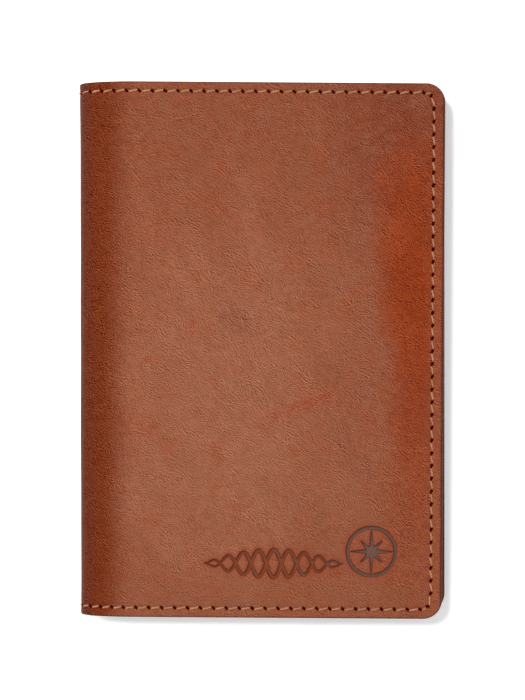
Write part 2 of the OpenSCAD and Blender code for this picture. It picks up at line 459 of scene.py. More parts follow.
def close_sides(shell, outer, inner, ends, free, top):
    """Flat walls on the sides that have no rim."""
    last_end = ends[-1][1][::-1] if top else []
    walls = [[*ends[0][0], *outer[0], *last_end, *inner[0][::-1]]]
    if not free:
        walls.append([*ends[0][1], *outer[-1], *ends[1][0][::-1], *inner[-1][::-1]])
    if not top:
        walls.append([*outer[:, -1], *ends[0][1][::-1], *inner[::-1, -1]])
    shell.faces += [[int(k) for k in wall] for wall in walls]


def new_object(name, data):
    thing = bpy.data.objects.new(name, data)
    bpy.context.scene.collection.objects.link(thing)
    return thing


def make_object(name, points, marks, faces, flat, material):
    """A mesh object that keeps the flat pattern and the marks for its material."""
    mesh = bpy.data.meshes.new(name)
    mesh.from_pydata(points.tolist(), [], faces)
    for key, kind, values in (("flat", "FLOAT_VECTOR", flat), ("marks", "FLOAT_COLOR", marks)):
        layer = mesh.attributes.new(key, kind, "POINT")
        layer.data.foreach_set("vector" if kind == "FLOAT_VECTOR" else "color", values.ravel())
    build = bmesh.new()
    build.from_mesh(mesh)
    bmesh.ops.remove_doubles(build, verts=build.verts, dist=1e-7)
    loose = [vert for vert in build.verts if not vert.link_faces]
    bmesh.ops.delete(build, geom=loose, context="VERTS")
    bmesh.ops.recalc_face_normals(build, faces=build.faces)
    build.to_mesh(mesh)
    build.free()
    smooth_faces = [len(face.vertices) < WALL_CORNERS for face in mesh.polygons]
    mesh.polygons.foreach_set("use_smooth", smooth_faces)
    mesh.materials.append(material)
    return new_object(name, mesh)


# ---- Relief of the leather ----


def ripple(u, v):
    """The slow waviness of a hide, from -1 to 1."""
    waves = ((0.11, 0.05, 0.3), (-0.06, 0.13, 1.9), (0.19, -0.08, 4.1), (0.05, 0.21, 2.6))
    return sum(np.sin(p * u + q * v + r) for p, q, r in waves) / len(waves)


def seam_relief(points, marks):
    """Extra depth where the seam draws the leather in and where the awl went through."""
    seam = np.full(len(points), np.inf)
    for slit, way, after in zip(slits, slit_way, following):
        off = points[:, :2] - slit
        near = np.flatnonzero(np.abs(off).max(axis=1) < NEAR_SLIT)
        du, dv = off[near].T
        along, across = du * way[0] + dv * way[1], dv * way[0] - du * way[1]
        inside = 1 - smooth(2 * np.hypot(along / SLIT_HALF, across / SLIT_WIDE) - 1.5)
        marks[near, PIT] = np.maximum(marks[near, PIT], inside)
        away = off_segment(*points[near, :2].T, slit, after)
        seam[near] = np.minimum(seam[near], away)
    dip = 0.1 * np.exp(-((seam / 0.85) ** 2)) + 0.08 * np.exp(-((seam / 0.32) ** 2))
    return dip + 0.4 * marks[:, PIT]


def emblem_relief(points, marks):
    """Extra depth where the emblem is pressed into the front."""
    x0, x1, y0, y1 = EMBLEM_BOX
    x = points[:, 0] + BEND_X - BEND_A
    near = (x > x0) & (x < x1) & (points[:, 1] > y0) & (points[:, 1] < y1)
    outside = np.full(len(points), 9.0)
    x, y = x[near], points[near, 1]
    outside[near] = np.minimum(outside_rose(x, y), outside_braid(x, y))
    press = smooth((0.28 - outside) / 0.42)
    marks[:, PRESS] = press
    marks[:, HALO] = np.exp(-((np.maximum(outside, 0) / 1.1) ** 2))
    return EMBLEM_D * press + 0.07 * np.exp(-((outside / 0.55) ** 2))


# ---- Materials ----

LIGHT = 1.42  # how bright a white surface looks under the lamps
VEIL = (0.018, 0.011, 0.007)  # what the leather's waxed surface reflects straight up
WAX = (1.0, 0.6, 0.4, 1.0)  # reflections take the colour of the dyed wax
DIM = 0.3  # and are dim
GRAIN_SHEEN = (0.042, 0.032, 0.024, 1.0)  # a painted highlight, added to the lit sides of the grain
# a warmer painted highlight on the grain of the spine and the red band
SPINE_AND_BAND_GRAIN_SHEEN = (0.06, 0.036, 0.012, 1.0)
COAT_DARK = (84, 38, 30)  # edge coat
# painted shade in the awl slits
SLIT_SHADE = (84, 16, 0)
RUST = (158, 70, 40)
BRUISE = (132, 72, 56)
# Rub marks: middle, direction in degrees, half length, half width, strength and colour
SCUFFS = (
    ((62.0, -14.5), 22, 16.0, 3.0, 1.0, RUST),
    ((44.0, 8.5), -58, 10.0, 5.5, 0.75, BRUISE),
    ((76.5, 15.5), 30, 8.0, 2.0, 0.7, RUST),
    ((20.0, -19.5), -5, 8.0, 5.0, 0.6, RUST),
    ((33.0, 6.5), 75, 8.0, 2.0, 0.6, RUST),
    ((43.5, 33.5), -55, 8.0, 2.0, 0.5, RUST),
    ((81.5, 45.5), -50, 7.0, 2.0, 0.6, RUST),
    ((-48.0, 22.0), 35, 12.0, 2.5, 0.8, RUST),
    ((-66.0, -30.0), -40, 9.0, 3.5, 0.6, BRUISE),
)


def colour(red, green, blue):
    """A linear colour from the 0 to 255 numbers that a screen shows."""
    parts = [(c / 255 + 0.055) / 1.055 for c in (red, green, blue)]
    return (*[part**2.4 for part in parts], 1.0)


def shown(red, green, blue):
    """The base colour of leather that looks like these 0 to 255 numbers under the lamps."""
    parts = colour(red, green, blue)
    return (*[max((part - veil) / LIGHT, 0.0005) for part, veil in zip(parts, VEIL)], 1.0)


class Nodes:
    """A node tree that is put together a node at a time."""

    def __init__(self, tree):
        self.tree = tree

    def feed(self, socket, value):
        if isinstance(value, bpy.types.NodeSocket):
            self.tree.links.new(value, socket)
        else:
            socket.default_value = value

    def node(self, kind, inputs=None, **settings):
        node = self.tree.nodes.new("ShaderNode" + kind)
        for key, value in settings.items():
            setattr(node, key, value)
        for key, value in (inputs or {}).items():
            self.feed(node.inputs[key], value)
        return node

    def math(self, operation, *values):
        return self.node("Math", dict(enumerate(values)), operation=operation).outputs[0]

    def times(self, first, second):
        return self.math("MULTIPLY", first, second)

    def add(self, onto, value, factor=1.0):
        return self.math("MULTIPLY_ADD", value, factor, onto)

    def sway(self, onto, noise, amount):
        """Adds noise, which is about a half, so that it pushes both ways."""
        return self.add(onto, self.math("SUBTRACT", noise, 0.5), amount)

    def vector(self, operation, *values):
        return self.node("VectorMath", dict(enumerate(values)), operation=operation).outputs[0]

    def parts(self, vector):
        return self.node("SeparateXYZ", {0: vector}).outputs

    def step(self, value, first, last, low=0.0, high=1.0):
        """Eases from low, where value is first, to high, where it is last."""
        inputs = {0: value, 1: first, 2: last, 3: low, 4: high}
        return self.node("MapRange", inputs, interpolation_type="SMOOTHSTEP").outputs[0]

    def hump(self, value, centre, reach):
        """1 where value is centre, easing to 0 a distance reach away."""
        away = self.math("ABSOLUTE", self.math("SUBTRACT", value, centre))
        return self.step(away, reach, 0.0)

    def noise(self, vector, size, detail=2.0, roughness=0.5, output=0):
        inputs = {"Vector": vector, "Scale": 1 / size, "Detail": detail, "Roughness": roughness}
        return self.node("TexNoise", inputs).outputs[output]

    def mix(self, share, first, second, blend="MIX"):
        inputs = {0: share, 6: first, 7: second}
        return self.node("Mix", inputs, data_type="RGBA", blend_type=blend).outputs[2]

    def over(self, base, share, tint, strength=1.0):
        """Base under a share of the leather colour that looks like tint."""
        if strength != 1.0:
            share = self.times(share, strength)
        return self.mix(share, base, shown(*tint))


class Paint(Nodes):
    """A material with one shader, which reads what the pieces keep on their points."""

    def __init__(self, name, **shader):
        self.material = bpy.data.materials.new(name)
        self.material.use_nodes = True
        super().__init__(self.material.node_tree)
        self.tree.nodes.clear()
        self.shader = self.node("BsdfPrincipled")
        self.use(**shader)
        self.node("OutputMaterial", {"Surface": self.shader.outputs[0]})

    def use(self, **inputs):
        """Feeds the shader: Base_Color=... for the socket Base Color."""
        for key, value in inputs.items():
            self.feed(self.shader.inputs[key.replace("_", " ")], value)

    def edged(self, base, coat, pit):
        """Base with painted shade in the slits, and edge coat on the rims."""
        return self.over(self.over(base, pit, SLIT_SHADE), coat, COAT_DARK)

    def bump(self, height, depth, strength=1.0):
        inputs = {"Height": height, "Distance": depth * MM, "Strength": strength}
        self.use(Normal=self.node("Bump", inputs).outputs[0])

    def pattern(self):
        return self.node("Attribute", attribute_name="flat").outputs["Vector"]

    def marked(self):
        """The marks on a point: edge coat, pit for the painted shade in slits and between plies,
        pressed floor and the halo round it.
        """
        node = self.node("Attribute", attribute_name="marks")
        parts = self.node("SeparateColor", {0: node.outputs["Color"]})
        return [*parts.outputs, node.outputs["Alpha"]]

    def turned(self, vector, degrees, along, across, centre=(0.0, 0.0)):
        """Coordinates about centre, turned, in units of along and across millimetres."""
        inputs = {"Vector": vector, "Location": (*centre, 0.0),
                  "Rotation": (0, 0, math.radians(degrees)), "Scale": (along, across, 1)}
        return self.node("Mapping", inputs, vector_type="TEXTURE").outputs[0]

    def shifted(self, vector, size, amount):
        """Coordinates pushed about by slow noise, by up to about amount."""
        noise = self.noise(vector, size, 1.0, output="Color")
        centred = self.vector("SUBTRACT", noise, (0.5, 0.5, 0.5))
        return self.vector("MULTIPLY_ADD", centred, (2 * amount, 2 * amount, 2 * amount), vector)

    def scuff(self, vector, centre, degrees, reach, breadth):
        """Drawn-out streaks round a point, for reach along a direction and breadth across."""
        wandering = self.shifted(vector, 6.0, 0.8)
        x, y, _ = self.parts(self.turned(wandering, degrees, reach, breadth, centre))
        inside = self.times(self.hump(x, 0.0, 1.0), self.hump(y, 0.0, 1.0))
        streaks = self.noise(self.turned(vector, degrees, 4.0, 0.6), 1.0, 3.0)
        return self.times(self.step(streaks, 0.4, 0.6), inside)


def grain_height(paint, vector):
    """Small pebbles, a little drawn out along slanting lines, from 0 to 1."""
    lines = paint.noise(paint.turned(vector, -35, 0.5, 0.34), 1.0, 1.0, 0.5)
    return paint.add(lines, paint.noise(vector, 0.38, 1.0), 0.85)


def leather_grain(paint, vector):
    """The height of the grain, and its tone from 0 to 1: random flecks, with painted light on the
    grain's sides that face one way and painted shade on those that face the other.
    """
    wandering = paint.shifted(vector, 7.0, 1.5)
    height = grain_height(paint, wandering)
    # Painted light and shade: how the height changes towards one side and towards the other
    slopes = []
    for way in (1, -1):
        beside = paint.vector("ADD", wandering, (way * 0.08, way * 0.1, 0.0))
        slopes.append(paint.math("SUBTRACT", height, grain_height(paint, beside)))
    rise = paint.add(slopes[0], slopes[1], 0.5)
    # how strongly the painted light and shade shows, changing slowly across the hide
    clear = paint.step(paint.noise(vector, 9.0, 2.0), 0.3, 0.65, 2.1, 3.2)
    flecks = paint.add(-0.25, paint.noise(vector, 1.9, 3.0, 0.6), 0.6)
    flecks = paint.add(flecks, paint.noise(vector, 0.55, 2.0, 0.6), 0.9)
    return height, paint.add(flecks, rise, clear)


def grain_colour(paint, base, tone_and_shading, grain_sheen=GRAIN_SHEEN):
    """Paints the grain's light and shade: lit sides and light flecks are made lighter, with a
    painted highlight added, and shaded sides and dark flecks darker.
    """
    shaded_tone = paint.mix(1.0, base, (0.5, 0.32, 0.2, 1.0), "MULTIPLY")
    lit_tone = paint.mix(1.0, base, (1.3, 1.3, 1.3, 1.0), "MULTIPLY")
    lit_tone = paint.mix(1.0, lit_tone, grain_sheen, "ADD")
    for limit, side in ((0.0, shaded_tone), (1.0, lit_tone)):
        share = paint.node("MapRange", {0: tone_and_shading, 1: 0.5, 2: limit}).outputs[0]
        base = paint.mix(share, base, side)
    return base


def hide_colour(paint, vector, u, v, a, patches, small):
    """Brown with a painted sheen, which makes it lighter and greyer towards the middle of a
    panel.
    """
    # Where the painted sheen lies, broken up by noise
    middle = paint.times(paint.hump(a, 42.0, 52.0), paint.hump(v, -16.0, 88.0))
    middle = paint.sway(middle, patches, 1.3)
    streaks = paint.noise(paint.turned(vector, -62, 34.0, 9.0), 1.0, 2.0)
    middle = paint.sway(middle, streaks, 1.2)
    rims = paint.mix(paint.step(v, 66.0, 10.0), shown(143, 79, 53), shown(150, 86, 60))
    base = paint.over(rims, paint.step(middle, 0.1, 1.0), (161, 101, 75))
    corner = paint.times(paint.hump(u, 88.0, 28.0), paint.hump(v, 63.0, 58.0))
    base = paint.over(base, corner, (130, 64, 41))
    base = paint.over(base, paint.step(small, 0.45, 0.65, 0.0, 0.35), (146, 93, 69))
    rust = paint.step(paint.noise(vector, 7.0, 4.0, 0.65), 0.5, 0.68, 0.0, 0.5)
    return paint.over(base, rust, (154, 78, 46))


def red_band(paint, v, a, edge_noise):
    """A redder, darker band inside the free edge, which is wider at the top."""
    wider = paint.step(v, -10.0, 26.0, 0.0, 3.5)
    ragged = paint.add(paint.add(a, edge_noise), wider)
    band = paint.step(ragged, EDGE_A - 17.5, EDGE_A - 8.0)
    band = paint.times(band, paint.step(a, EDGE_A - 1.5, EDGE_A - 5.5, 0.4, 1.0))
    band = paint.times(band, paint.hump(v, 16.0, 112.0))
    return paint.times(band, paint.step(v, 68.0, 44.0))


def emblem_colour(paint, base, vector, u, press, halo):
    """A dull pressed floor with darker sides, which are singed and painted with the shade of the
    recess, and a rusty halo round it.
    """
    base = paint.over(base, halo, (155, 68, 38), 0.45)
    grey = paint.add(paint.step(u, a_of(15.0), a_of(24.0), -0.12, 0.3),
                     paint.noise(vector, 2.0, 3.0, 0.6))
    floor = paint.mix(paint.step(grey, 0.35, 0.62), shown(134, 72, 46), shown(116, 86, 76))
    # The sides of the recess are darker: singeing, with painted shade
    floor = paint.over(floor, paint.hump(press, 0.5, 0.5), (100, 40, 20), 0.85)
    return paint.mix(paint.step(press, 0.05, 0.5), base, floor)


def outer_leather_paint():
    paint = Paint("cover_leather", Specular_Tint=WAX)
    vector = paint.pattern()
    u, v, _ = paint.parts(vector)
    coat, pit, press, halo = paint.marked()
    a = paint.math("ABSOLUTE", u)
    patches = paint.noise(vector, 14.0, 3.0, 0.55)
    small = paint.noise(vector, 4.5, 3.0, 0.6)
    edge_noise = paint.add(-5.0, paint.noise(vector, 16.0, 2.0), 10.0)

    base = hide_colour(paint, vector, u, v, a, patches, small)
    band = red_band(paint, v, a, edge_noise)
    red = paint.step(paint.noise(vector, 12.0, 3.0), 0.35, 0.65)
    base = paint.mix(band, base, paint.mix(red, shown(139, 48, 19), shown(150, 58, 28)))
    for *where, strength, tint in SCUFFS:
        base = paint.over(base, paint.scuff(vector, *where), tint, strength)

    # Painted shade: the spine curves away from the light, so it is painted darker and redder,
    # darkest along its outermost line
    spine = paint.step(paint.add(a, edge_noise, 0.25), 18.8, 8.0)
    base = paint.over(base, spine, (111, 40, 14), 0.95)
    base = paint.over(base, paint.step(a, 9.0, 3.0, 0.0, 0.7), (88, 28, 5))

    # The grain's flecks and its painted light and shade are stronger towards the top, on the
    # spine and in the red band, where its painted highlight is warmer
    height, tone_and_shading = leather_grain(paint, vector)
    clear = paint.add(paint.step(v, -60.0, -5.0, 0.75, 1.12), spine, 0.6)
    clear = paint.add(clear, band, 1.4)
    grain_sheen = paint.mix(paint.math("MAXIMUM", spine, band), GRAIN_SHEEN, SPINE_AND_BAND_GRAIN_SHEEN)
    base = grain_colour(paint, base, paint.sway(0.5, tone_and_shading, clear), grain_sheen)
    base = emblem_colour(paint, base, vector, u, press, halo)

    # Painted shade in the awl slits
    base = paint.over(base, paint.step(pit, 0.25, 0.75), SLIT_SHADE)
    # Darker within about a millimetre of the free edge, in patches
    near_free_edge = paint.add(paint.step(a, EDGE_A - 1.25, EDGE_A), patches, 0.8)
    base = paint.over(base, paint.step(near_free_edge, 0.5, 1.2, 0.0, 0.85), (96, 46, 36))
    shine = paint.step(small, 0.3, 0.7, 0.44, 0.54)
    dull = paint.math("MAXIMUM", pit, paint.times(spine, 0.6))
    paint.use(Base_Color=paint.over(base, coat, COAT_DARK),
              Roughness=paint.add(shine, coat, -0.12),
              Specular_IOR_Level=paint.step(dull, 0.0, 1.0, DIM, 0.0))
    paint.bump(height, 0.11)
    return paint.material


def inner_leather_paint(name, dark, light):
    """Leather of the sleeves and pockets, which has seen less light and wear."""
    paint = Paint(name, Specular_IOR_Level=DIM, Specular_Tint=WAX)
    vector = paint.pattern()
    coat, pit, press, _ = paint.marked()
    height, tone_and_shading = leather_grain(paint, vector)
    patches = paint.noise(vector, 12.0, 4.0, 0.6)
    base = paint.mix(paint.step(patches, 0.3, 0.7, 0.2, 0.8), shown(*dark), shown(*light))
    # Painted light and shade of the grain, with its flecks
    base = grain_colour(paint, base, tone_and_shading)
    base = paint.over(base, press, (86, 36, 20), 0.6)
    paint.use(Base_Color=paint.edged(base, coat, pit),
              Roughness=paint.step(patches, 0.3, 0.7, 0.46, 0.56))
    paint.bump(height, 0.1, 0.9)
    return paint.material


def lining_paint():
    """Dull brown with a short nap."""
    paint = Paint("lining", Roughness=0.75)
    vector = paint.pattern()
    coat, pit, _, _ = paint.marked()
    nap = paint.noise(paint.turned(vector, 20, 0.9, 0.3), 1.0, 3.0, 0.7)
    patches = paint.step(paint.noise(vector, 9.0, 3.0), 0.3, 0.7)
    base = paint.mix(patches, colour(84, 52, 38), colour(92, 58, 42))
    base = paint.mix(paint.step(nap, 0.3, 0.6, 0.45, 0.0), base, colour(54, 30, 21))
    base = paint.mix(paint.step(nap, 0.5, 0.75, 0.0, 0.35), base, colour(122, 82, 62))
    paint.use(Base_Color=paint.edged(base, coat, pit))
    paint.bump(nap, 0.05, 0.8)
    return paint.material


def thread_paint():
    """Waxed thread: fibres run along each ply, with patches of dirt, and painted shade between
    the plies.
    """
    paint = Paint("seam_thread", Roughness=0.55)
    vector = paint.pattern()
    fibres = paint.noise(paint.turned(vector, 0, 0.5, 0.09), 1.0, 2.0, 0.7)
    dirt = paint.step(paint.noise(vector, 5.0, 2.0), 0.4, 0.7, 0.0, 0.5)
    base = paint.mix(paint.step(fibres, 0.3, 0.75), shown(208, 134, 86), shown(255, 206, 158))
    base = paint.over(base, dirt, (180, 112, 72))
    # painted shade on the sides of the plies that face each other
    base = paint.over(base, paint.marked()[PIT], (116, 58, 30), 0.75)
    paint.use(Base_Color=base)
    paint.bump(fibres, 0.04, 0.6)
    return paint.material


def slit_shade_paint():
    """Painted shade for the inside of an awl's slit."""
    paint = Paint("awl_slit_shade", Roughness=0.8)
    patches = paint.noise(paint.pattern(), 0.3)
    paint.use(Base_Color=paint.mix(patches, shown(*SLIT_SHADE), colour(70, 26, 10)))
    return paint.material


THREAD = thread_paint()
SLIT_SHADE_MATERIAL = slit_shade_paint()
LEATHERS = {  # by slot
    "cover_leather": outer_leather_paint(),
    "sleeve_leather": inner_leather_paint("sleeve_leather", (138, 75, 49), (150, 86, 59)),
    "pocket_leather": inner_leather_paint("pocket_leather", (144, 79, 51), (156, 91, 62)),
    "lining": lining_paint(),
}

# ---- Pieces ----

# How far along the hide each layer is cut, so that no two show the same grain
GRAIN_AT = {"lining": 150.0, "sleeve": 400.0, "hem": 600.0, "pocket": 800.0}
NEAR_SPLIT = (0.06, 0.2, 0.45, 0.8)  # closer lines at a split hide it
LAST_A, LAST_V = EDGE_A - CORNER_R, HALF_H - CORNER_R  # where the corners start
PANEL_COLUMNS = steps(SPLIT_A, LAST_A, NEAR_SPLIT)
PANEL_ROWS = steps(-LAST_V, LAST_V)
half_spine = steps(0, SPLIT_A / 2, NEAR_SPLIT[:3], size=0.4)
SPINE_COLUMNS = np.concatenate((half_spine, (SPLIT_A - half_spine[::-1])[1:]))


def settle(thing, side, bend, nodes=()):
    """Makes a piece ride on the front or back cover's body, or, for a piece at a bend, bakes its
    place into its points, and hides the CAD nodes that it replaces. side is 1 for the front and
    -1 for the back."""
    if bend:
        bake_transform(thing)
    else:
        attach(thing, "front_cover" if side > 0 else "back_cover")
    if nodes:
        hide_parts(*nodes)


def shell_piece(name, shell, slot, nodes, side, bend=None, relief=None, grain_at=0.0):
    """Folds a shell onto its side of the cover. relief gives its points' extra depth."""
    points, coat = np.split(np.concatenate(shell.points), [3], axis=1)
    marks = coat * (np.arange(4) == COAT)
    points[:, 0] *= side
    if relief:
        points[:, 2] += relief(points, marks)
    flat = points + [grain_at, 0, 0]
    thing = make_object(name, place(*points.T), marks, shell.faces, flat, LEATHERS[slot])
    settle(thing, side, bend, nodes)


def nodes_at(bend, panel_word, spine_word):
    """The two CAD nodes that a layer's piece at a bend replaces."""
    back, middle, front = (f"spine_{spine_word}_{word}" for word in ("back", "middle", "front"))
    if bend in ("back", "front"):
        return f"{bend}_{panel_word}", front if bend == "front" else back
    return (back, middle) if bend == "spine_back" else (middle, front)


def cover_relief(points, marks):
    """Extra depth of the outer leather: none on its inner face, and little at the rims."""
    flat = np.clip((OUTER_D - points[:, 2]) / OUTER_D, 0, 1)
    extra = seam_relief(points, marks) + emblem_relief(points, marks)
    in_from_edge = np.minimum(EDGE_A - np.abs(points[:, 0]), HALF_H - np.abs(points[:, 1]))
    extra = extra + 0.09 * (1 + ripple(points[:, 0], points[:, 1])) * smooth(in_from_edge / 9)
    marks[:, PIT:] *= (flat > 0.7)[:, None]
    return extra * flat


def make_cover():
    x0, x1, y0, y1 = EMBLEM_BOX
    for bend in FOLDS:
        side = 1 if "front" in bend else -1
        free = bend in ("back", "front")
        columns = PANEL_COLUMNS if free else SPINE_COLUMNS
        patch = (a_of(x0), a_of(x1), y0, y1) if bend == "front" else None
        cover = make_shell(columns, PANEL_ROWS, 0.0, OUTER_D, 0.55, 0.15, free, patch=patch)
        shell_piece(f"cover_leather_{bend}", cover, "cover_leather",
                    nodes_at(bend, "outer_leather", "leather"), side, bend, cover_relief)
        lining = make_shell(columns, PANEL_ROWS, LINING_D, OUTER_D, 0.15, 0.05, free, inset=0.04)
        shell_piece(f"lining_{bend}", lining, "lining", nodes_at(bend, "lining", "lining"),
                    side, bend, None, GRAIN_AT["lining"])


CREASE_AT = 1.5  # from an open edge to the creased line along it
CREASE_LINES = (0.05, 0.13, 0.25, 0.4, 0.7, 1.0, 1.2, 1.35, 1.5, 1.65, 1.8, 2.0, 2.4, 3.0)


def open_edge(distance, marks, rounding=0.35):
    """Extra height taken off near an open edge: a round lip, and a crease beside it."""
    lip = np.clip(rounding - distance, 0, rounding)
    crease = np.exp(-(((distance - CREASE_AT) / 0.17) ** 2))
    marks[:, PRESS] = np.maximum(marks[:, PRESS], crease)
    marks[:, COAT] = np.maximum(marks[:, COAT], smooth(1 - distance / 0.3))
    return rounding - np.sqrt(rounding**2 - lip**2) + 0.1 * crease


def make_sleeve(side):
    """A passport sleeve: its open edge is to the spine, and curves in a little."""
    name = "front_sleeve" if side > 0 else "back_sleeve"
    first = first_a(f"{name}_panel")
    columns = steps(first, LAST_A, CREASE_LINES)
    shell = make_shell(columns, PANEL_ROWS, SLEEVE_D, HEM_D, 0.4, 0.1, inset=0.1)

    def relief(points, marks):
        a, v = np.abs(points[:, 0]), points[:, 1]
        top = points[:, 2] > (SLEEVE_D + HEM_D) / 2
        down = open_edge(a - first, marks) * top
        marks[:, PRESS] *= top
        curve = 1 - (v / HALF_H) ** 2
        bow = 0.35 * curve * np.exp(-(a - first) / 9)
        points[:, 0] += side * SLEEVE_DIP * curve * smooth(1 - (a - first) / 24)
        hollow = 0.1 * smooth((np.minimum(EDGE_A - a, HALF_H - np.abs(v)) - 3.2) / 1.2)
        return bow - down - hollow * top

    shell_piece(name, shell, "sleeve_leather", (f"{name}_panel",), side, None, relief,
                GRAIN_AT["sleeve"])
    make_band(name, "sleeve_leather", side, first, PANEL_ROWS, LINING_D, HEM_D)


def make_band(name, slot, side, first, rows, d0, d1, top=True):
    """The turned edges under a sleeve or pocket: a strip along each of its sewn sides."""
    shell = Shell()
    columns = steps(first, LAST_A)
    ring = np.array([(HEM_W, d0, 0), (0.35, d0, 0), (0.12, d0 + 0.05, 1), (0.1, (d0 + d1) / 2, 1),
                     (0.12, d1 - 0.05, 1), (0.35, d1, 0), (HEM_W, d1, 0)])
    for base, normal, _ in rim_loops(columns, rows, True, top):
        rings = base + ring[:, None, :1] * normal
        ids = shell.add(rings[..., 0], rings[..., 1], ring[:, 1:2], ring[:, 2:])
        shell.faces += quads_of(np.vstack((ids, ids[:1])))
        shell.faces += [ids[:, 0].tolist(), ids[::-1, -1].tolist()]
    edges = (f"{name}_turned_edges",)
    shell_piece(f"{name}_hem", shell, slot, edges, side, grain_at=GRAIN_AT["hem"])


def make_pocket(n):
    """A card pocket on the front sleeve. Its mouth is its top edge."""
    node = POCKET_NODES[n]
    first, mouth = first_a(node), high(node).y
    d0, d1 = POCKET_D1[n], POCKET_D0[n]
    columns = steps(first, LAST_A, CREASE_LINES)
    rows = steps(mouth, -LAST_V, CREASE_LINES)[::-1]
    shell = make_shell(columns, rows, d0, d1, 0.3, 0.08, inset=0.12, top=False)

    def relief(points, marks):
        a, v = np.abs(points[:, 0]), points[:, 1]
        top = points[:, 2] > (d0 + d1) / 2
        down = np.maximum(open_edge(mouth - v, marks, 0.28), open_edge(a - first, marks, 0.28))
        marks[:, PRESS] *= top
        across = np.clip((a - first) / (EDGE_A - first), 0, 1)
        bow = 0.3 * np.sin(math.pi * across) * np.exp(-(mouth - v) / 10)
        return bow - down * top

    shell_piece(node, shell, "pocket_leather", (node,), 1, None, relief,
                GRAIN_AT["pocket"] + 90 * n)
    under = POCKET_D1[0] if n else SLEEVE_D
    make_band(node.replace("_card", ""), "pocket_leather", 1, first, rows, under, d1, top=False)


# ---- Thread ----

PLY_R = 0.13  # radius of one ply
PLY_OFF = 0.13  # and how far its middle is from the thread's
THREAD_TURN = 1.15  # length of one turn of the twist
RING_STEPS = 8  # sides of a ply
STITCH_STEPS = 16  # rings along a stitch
DRAWN_IN = 0.14  # depth of the leather under a stitch on the outer face
LENS_SIDES = 12
POCKET_SEAM_IN = 1.1  # from the pockets' spine side to their seam
POCKET_STITCH = 3.0
MOUTH_CLEAR = 0.6  # from a mouth down to the slit below it


def join(parts):
    """One set of points, marks and faces from several."""
    faces, start = [], 0
    for part, _, part_faces in parts:
        faces += [[start + k for k in face] for face in part_faces]
        start += len(part)
    points, marks, _ = zip(*parts)
    return np.concatenate(points), np.concatenate(marks), faces


def stitch_mesh(first, last, depths, out):
    """Two plies twisted round each other between two points of the flat pattern. They come
    up out of one slit and go down into the next. depths are the leather's at both ends, and
    out is -1 on the outer face and 1 on the inner. Gives points, marks and faces."""
    share = (1 - np.cos(np.linspace(0, math.pi, STITCH_STEPS + 1))) / 2
    rise = np.sin(math.pi * share) ** 0.35
    base = depths[0] + (depths[1] - depths[0]) * smooth((share - 0.3) / 0.4)
    centre = np.column_stack((first + share[:, None] * (last - first),
                              base + out * (0.1 * rise - 0.5 * (1 - rise))))
    way = np.gradient(centre, axis=0)
    way = way / np.linalg.norm(way, axis=1)[:, None]
    length = np.linalg.norm(last - first)
    across = np.array([first[1] - last[1], last[0] - first[0], 0.0]) / length
    up = np.cross(way, across)
    rounds = np.linspace(0, 2 * math.pi, RING_STEPS, endpoint=False)
    ids = np.arange(len(share) * RING_STEPS).reshape(len(share), RING_STEPS)
    tube = quads_of(np.column_stack((ids, ids[:, :1])))
    tube += [ids[0].tolist(), ids[-1][::-1].tolist()]
    plies = []
    for ply in (0, math.pi):
        spin = (2 * math.pi * share * length / THREAD_TURN + ply)[:, None]
        across_by = PLY_OFF * np.cos(spin) + PLY_R * np.cos(rounds)
        up_by = PLY_OFF * np.sin(spin) + PLY_R * np.sin(rounds)
        ring = centre[:, None] + across_by[..., None] * across + up_by[..., None] * up[:, None]
        marks = np.zeros((*ring.shape[:2], 4))
        # the sides of the plies that face each other, which get painted shade
        marks[..., PIT] = smooth(0.35 - np.cos(rounds - spin))
        plies.append((ring.reshape(-1, 3), marks.reshape(-1, 4), tube))
    return join(plies)


def slit_disc(middle, way, depth):
    """A small lens of painted shade where a slit shows on an inner face: points, marks and faces.
    """
    turn = np.linspace(0, 2 * math.pi, LENS_SIDES, endpoint=False)[:, None]
    across = np.array([-way[1], way[0]])
    rim = middle + 0.9 * SLIT_HALF * np.cos(turn) * way
    rim = rim + 0.8 * SLIT_WIDE * np.sin(turn) * across
    levels = np.repeat((depth + 0.012, depth - 0.03, depth + 0.02), (LENS_SIDES, LENS_SIDES, 1))
    points = np.column_stack((np.vstack((rim, rim, middle)), levels))
    faces = [list(range(LENS_SIDES, 2 * LENS_SIDES))]
    for k in range(LENS_SIDES):
        after = (k + 1) % LENS_SIDES
        faces.append([k, after, 2 * LENS_SIDES])
        faces.append([k, after, LENS_SIDES + after, LENS_SIDES + k])
    return points, np.zeros((len(points), 4)), faces


def inner_depth(point):
    """Depth of the inner face that the seam goes through at a point of the flat pattern."""
    u, v = point
    depth = LINING_D
    if abs(u) > first_a("back_sleeve_panel"):
        depth = SLEEVE_D
    for n, node in enumerate(POCKET_NODES):
        if u > first_a(node) and v < high(node).y:
            depth = POCKET_D1[n]
    return depth


def thread_piece(name, parts, material, bend=None, nodes=()):
    points, marks, faces = join(parts)
    thing = make_object(name, place(*points.T), marks, faces, points, material)
    settle(thing, 1, bend, nodes)


def bend_at(u):
    """The name of the part of the cover that holds u."""
    word = "front" if u > 0 else "back"
    return word if abs(u) > SPLIT_A else f"spine_{word}"


